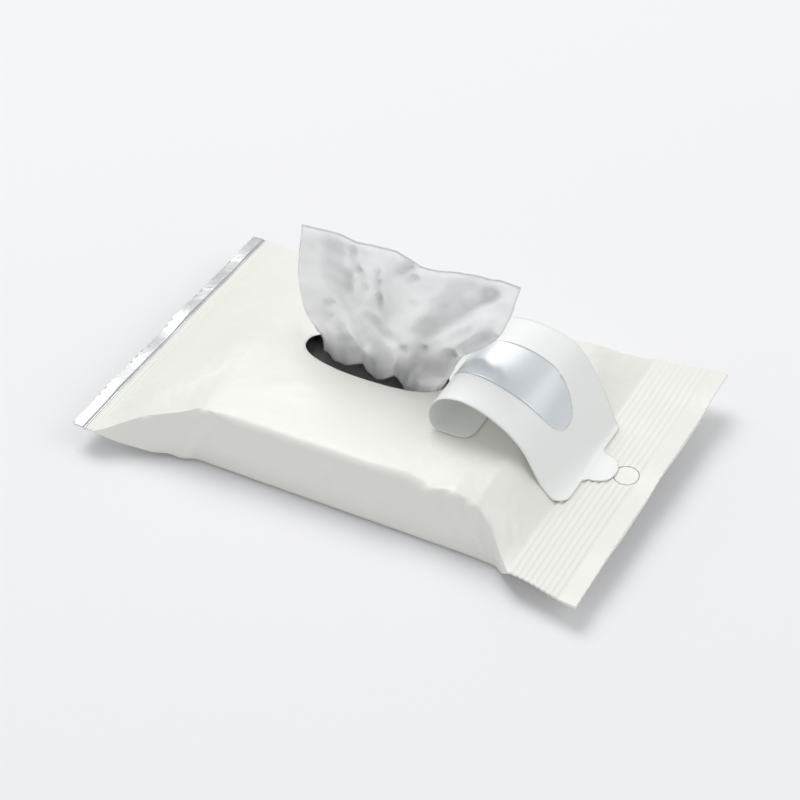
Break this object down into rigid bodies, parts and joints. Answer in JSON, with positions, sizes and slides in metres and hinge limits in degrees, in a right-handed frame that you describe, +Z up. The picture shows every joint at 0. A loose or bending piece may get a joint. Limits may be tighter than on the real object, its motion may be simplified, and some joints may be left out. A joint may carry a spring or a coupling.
{
  "type": "pack of moist cleansing sheets",
  "caption": "Pillow pouch of folded moist sheets, lying flat, its peel-back label folded open over a ribbed end seal and a sheet drawn half out.",
  "frame": {"origin": "under the middle of the pack, on the surface that it lies on", "axes": "+X along the pack towards its wide ribbed end seal, +Y across it, away from the side with the print, +Z up"},
  "size_m": [0.168, 0.111, 0.0669],
  "materials": {
    "pouch_film": "satin white laminated film",
    "label_film": "smooth white label film",
    "foil_layer": "bright aluminised inner face of the film",
    "moist_cloth": "moist white nonwoven cloth",
    "folded_cloth": "moist white nonwoven cloth, folded"
  },
  "bodies": {
    "root": {"film_pouch": "pouch_film", "resealable_label": "label_film", "hole_cut_out": "foil_layer", "drawn_sheet": "moist_cloth", "folded_sheet_01": "folded_cloth", "folded_sheet_02": "folded_cloth", "folded_sheet_03": "folded_cloth", "folded_sheet_04": "folded_cloth", "folded_sheet_05": "folded_cloth", "folded_sheet_06": "folded_cloth", "folded_sheet_07": "folded_cloth", "folded_sheet_08": "folded_cloth", "folded_sheet_09": "folded_cloth"}
  },
  "joints": []
}
